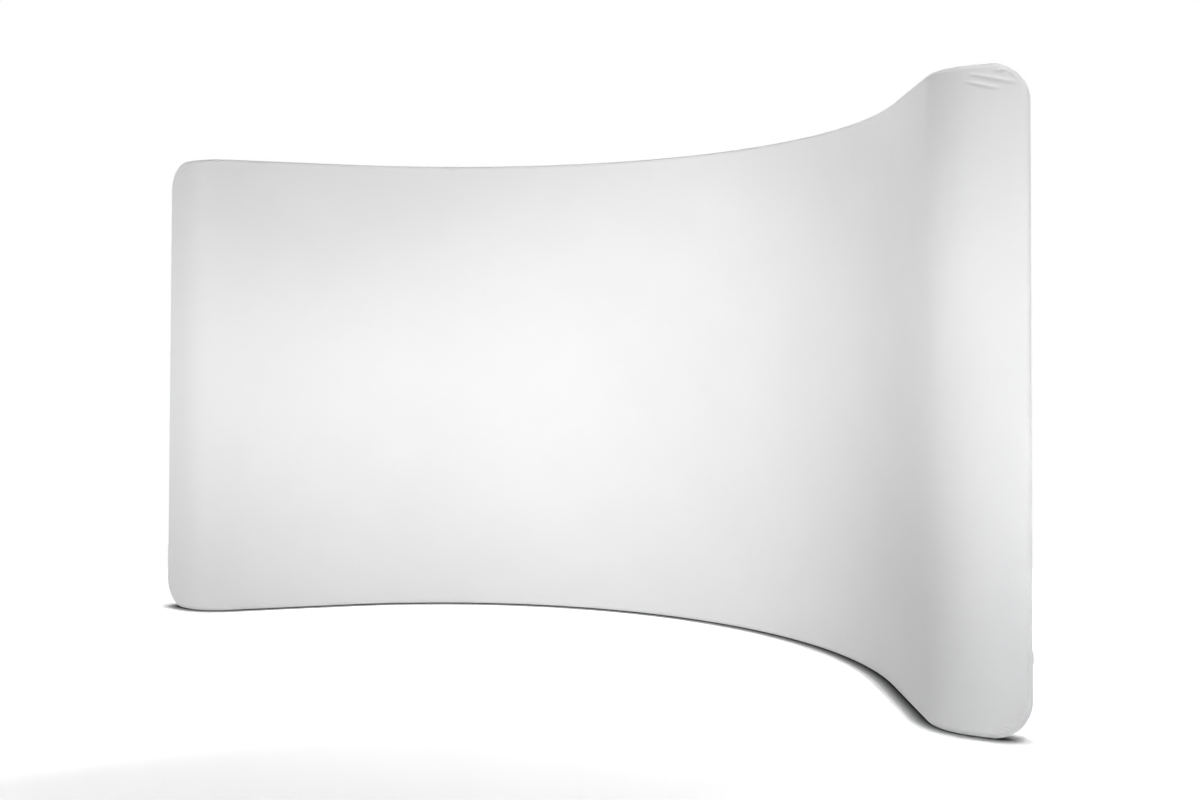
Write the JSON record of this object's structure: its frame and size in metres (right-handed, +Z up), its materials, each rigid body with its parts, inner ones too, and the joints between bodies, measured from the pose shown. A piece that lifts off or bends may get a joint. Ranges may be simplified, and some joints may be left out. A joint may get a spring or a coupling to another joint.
{
  "type": "curved fabric display wall",
  "caption": "Free-standing curved display wall: a white stretch-fabric sleeve zipped over a snap-together frame of bent aluminium tube.",
  "frame": {"origin": "on the floor, under the middle of the wall's box", "axes": "+X along the wall to the right seen from the front, +Y to the back, +Z up; the hollow front faces -Y"},
  "size_m": [4.4568, 1.3286, 2.25],
  "materials": {
    "sleeve_fabric": "matte",
    "frame_tube": "satin",
    "button_steel": "satin",
    "zip_tape": "matte",
    "zip_coil": "satin",
    "zip_metal": "satin"
  },
  "bodies": {
    "frame": {"bottom_rail_left": "frame_tube", "bottom_rail_middle": "frame_tube", "bottom_rail_right": "frame_tube", "bottom_hook_left": "frame_tube", "bottom_hook_right": "frame_tube", "top_rail_left": "frame_tube", "top_rail_middle": "frame_tube", "top_rail_right": "frame_tube", "top_hook_left": "frame_tube", "top_hook_right": "frame_tube", "end_post_left_lower": "frame_tube", "end_post_left_upper": "frame_tube", "end_post_right_lower": "frame_tube", "end_post_right_upper": "frame_tube", "upright_left_lower": "frame_tube", "upright_left_upper": "frame_tube", "bottom_stub_left": "frame_tube", "top_stub_left": "frame_tube", "upright_middle_lower": "frame_tube", "upright_middle_upper": "frame_tube", "bottom_stub_middle": "frame_tube", "top_stub_middle": "frame_tube", "upright_right_lower": "frame_tube", "upright_right_upper": "frame_tube", "bottom_stub_right": "frame_tube", "top_stub_right": "frame_tube", "sleeve_front": "sleeve_fabric", "sleeve_back": "sleeve_fabric", "zip_tape_front": "zip_tape", "zip_tape_back": "zip_tape", "zip_coil": "zip_coil"},
    "button_bottom_rail_1": {"snap_button_bottom_rail_1": "button_steel"},
    "button_bottom_rail_2": {"snap_button_bottom_rail_2": "button_steel"},
    "button_bottom_rail_3": {"snap_button_bottom_rail_3": "button_steel"},
    "button_bottom_rail_4": {"snap_button_bottom_rail_4": "button_steel"},
    "button_top_rail_1": {"snap_button_top_rail_1": "button_steel"},
    "button_top_rail_2": {"snap_button_top_rail_2": "button_steel"},
    "button_top_rail_3": {"snap_button_top_rail_3": "button_steel"},
    "button_top_rail_4": {"snap_button_top_rail_4": "button_steel"},
    "button_post_left_1": {"snap_button_post_left_1": "button_steel"},
    "button_post_left_2": {"snap_button_post_left_2": "button_steel"},
    "button_post_left_3": {"snap_button_post_left_3": "button_steel"},
    "button_post_right_1": {"snap_button_post_right_1": "button_steel"},
    "button_post_right_2": {"snap_button_post_right_2": "button_steel"},
    "button_post_right_3": {"snap_button_post_right_3": "button_steel"},
    "button_upright_left_1": {"snap_button_upright_left_1": "button_steel"},
    "button_upright_left_2": {"snap_button_upright_left_2": "button_steel"},
    "button_upright_left_3": {"snap_button_upright_left_3": "button_steel"},
    "button_upright_middle_1": {"snap_button_upright_middle_1": "button_steel"},
    "button_upright_middle_2": {"snap_button_upright_middle_2": "button_steel"},
    "button_upright_middle_3": {"snap_button_upright_middle_3": "button_steel"},
    "button_upright_right_1": {"snap_button_upright_right_1": "button_steel"},
    "button_upright_right_2": {"snap_button_upright_right_2": "button_steel"},
    "button_upright_right_3": {"snap_button_upright_right_3": "button_steel"},
    "slider": {"zip_slider": "zip_metal"},
    "pull": {"zip_pull": "zip_metal"}
  },
  "joints": [
    {"name": "press_bottom_rail_1", "type": "slide", "parent": "frame", "child": "button_bottom_rail_1", "axis": [0, 0, -1], "range_m": [0, 0.0042], "stiffness_N_per_m": 900},
    {"name": "press_bottom_rail_2", "type": "slide", "parent": "frame", "child": "button_bottom_rail_2", "axis": [0, 0, -1], "range_m": [0, 0.0042], "stiffness_N_per_m": 900},
    {"name": "press_bottom_rail_3", "type": "slide", "parent": "frame", "child": "button_bottom_rail_3", "axis": [0, 0, -1], "range_m": [0, 0.0042], "stiffness_N_per_m": 900},
    {"name": "press_bottom_rail_4", "type": "slide", "parent": "frame", "child": "button_bottom_rail_4", "axis": [0, 0, -1], "range_m": [0, 0.0042], "stiffness_N_per_m": 900},
    {"name": "press_top_rail_1", "type": "slide", "parent": "frame", "child": "button_top_rail_1", "axis": [0, 0, 1], "range_m": [0, 0.0042], "stiffness_N_per_m": 900},
    {"name": "press_top_rail_2", "type": "slide", "parent": "frame", "child": "button_top_rail_2", "axis": [0, 0, 1], "range_m": [0, 0.0042], "stiffness_N_per_m": 900},
    {"name": "press_top_rail_3", "type": "slide", "parent": "frame", "child": "button_top_rail_3", "axis": [0, 0, 1], "range_m": [0, 0.0042], "stiffness_N_per_m": 900},
    {"name": "press_top_rail_4", "type": "slide", "parent": "frame", "child": "button_top_rail_4", "axis": [0, 0, 1], "range_m": [0, 0.0042], "stiffness_N_per_m": 900},
    {"name": "press_post_left_1", "type": "slide", "parent": "frame", "child": "button_post_left_1", "axis": [-0.9914, 0.1305, 0], "range_m": [0, 0.0042], "stiffness_N_per_m": 900},
    {"name": "press_post_left_2", "type": "slide", "parent": "frame", "child": "button_post_left_2", "axis": [-0.9914, 0.1305, 0], "range_m": [0, 0.0042], "stiffness_N_per_m": 900},
    {"name": "press_post_left_3", "type": "slide", "parent": "frame", "child": "button_post_left_3", "axis": [-0.9914, 0.1305, 0], "range_m": [0, 0.0042], "stiffness_N_per_m": 900},
    {"name": "press_post_right_1", "type": "slide", "parent": "frame", "child": "button_post_right_1", "axis": [0.9914, 0.1305, 0], "range_m": [0, 0.0042], "stiffness_N_per_m": 900},
    {"name": "press_post_right_2", "type": "slide", "parent": "frame", "child": "button_post_right_2", "axis": [0.9914, 0.1305, 0], "range_m": [0, 0.0042], "stiffness_N_per_m": 900},
    {"name": "press_post_right_3", "type": "slide", "parent": "frame", "child": "button_post_right_3", "axis": [0.9914, 0.1305, 0], "range_m": [0, 0.0042], "stiffness_N_per_m": 900},
    {"name": "press_upright_left_1", "type": "slide", "parent": "frame", "child": "button_upright_left_1", "axis": [-0.8124, -0.5831, 0], "range_m": [0, 0.0042], "stiffness_N_per_m": 900},
    {"name": "press_upright_left_2", "type": "slide", "parent": "frame", "child": "button_upright_left_2", "axis": [-0.8124, -0.5831, 0], "range_m": [0, 0.0042], "stiffness_N_per_m": 900},
    {"name": "press_upright_left_3", "type": "slide", "parent": "frame", "child": "button_upright_left_3", "axis": [-0.8124, -0.5831, 0], "range_m": [0, 0.0042], "stiffness_N_per_m": 900},
    {"name": "press_upright_middle_1", "type": "slide", "parent": "frame", "child": "button_upright_middle_1", "axis": [-1, 0, 0], "range_m": [0, 0.0042], "stiffness_N_per_m": 900},
    {"name": "press_upright_middle_2", "type": "slide", "parent": "frame", "child": "button_upright_middle_2", "axis": [-1, 0, 0], "range_m": [0, 0.0042], "stiffness_N_per_m": 900},
    {"name": "press_upright_middle_3", "type": "slide", "parent": "frame", "child": "button_upright_middle_3", "axis": [-1, 0, 0], "range_m": [0, 0.0042], "stiffness_N_per_m": 900},
    {"name": "press_upright_right_1", "type": "slide", "parent": "frame", "child": "button_upright_right_1", "axis": [-0.8124, 0.5831, 0], "range_m": [0, 0.0042], "stiffness_N_per_m": 900},
    {"name": "press_upright_right_2", "type": "slide", "parent": "frame", "child": "button_upright_right_2", "axis": [-0.8124, 0.5831, 0], "range_m": [0, 0.0042], "stiffness_N_per_m": 900},
    {"name": "press_upright_right_3", "type": "slide", "parent": "frame", "child": "button_upright_right_3", "axis": [-0.8124, 0.5831, 0], "range_m": [0, 0.0042], "stiffness_N_per_m": 900},
    {"name": "zip_run", "type": "slide", "parent": "frame", "child": "slider", "axis": [0, 0, -1], "range_m": [0, 0.13]},
    {"name": "pull_swing", "type": "hinge", "parent": "slider", "child": "pull", "pos_m": [2.22524, -0.60672, 0.285], "axis": [0.7373, -0.6756, 0], "range_deg": [0, 170]}
  ]
}
